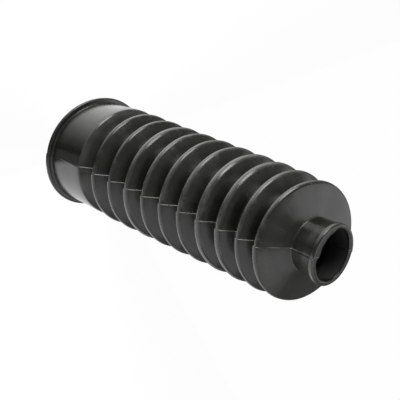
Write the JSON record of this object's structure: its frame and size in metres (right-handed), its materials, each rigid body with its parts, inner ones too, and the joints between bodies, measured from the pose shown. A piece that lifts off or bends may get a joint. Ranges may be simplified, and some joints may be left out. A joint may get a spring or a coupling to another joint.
{
  "type": "rubber bellows boot",
  "caption": "Long moulded rubber bellows boot with a flanged plain cuff at one end and a narrow beaded neck at the other, open right through to cover and seal a sliding rod.",
  "frame": {"origin": "centre of the flange's end face, which is the bottom of the part", "axes": "+Z along the boot's axis, from the flanged cuff up to the narrow neck"},
  "size_m": [0.0848, 0.0848, 0.2456],
  "materials": {
    "moulded_rubber": "satin black moulded rubber"
  },
  "bodies": {
    "root": {"bellows_boot": "moulded_rubber"}
  },
  "joints": []
}
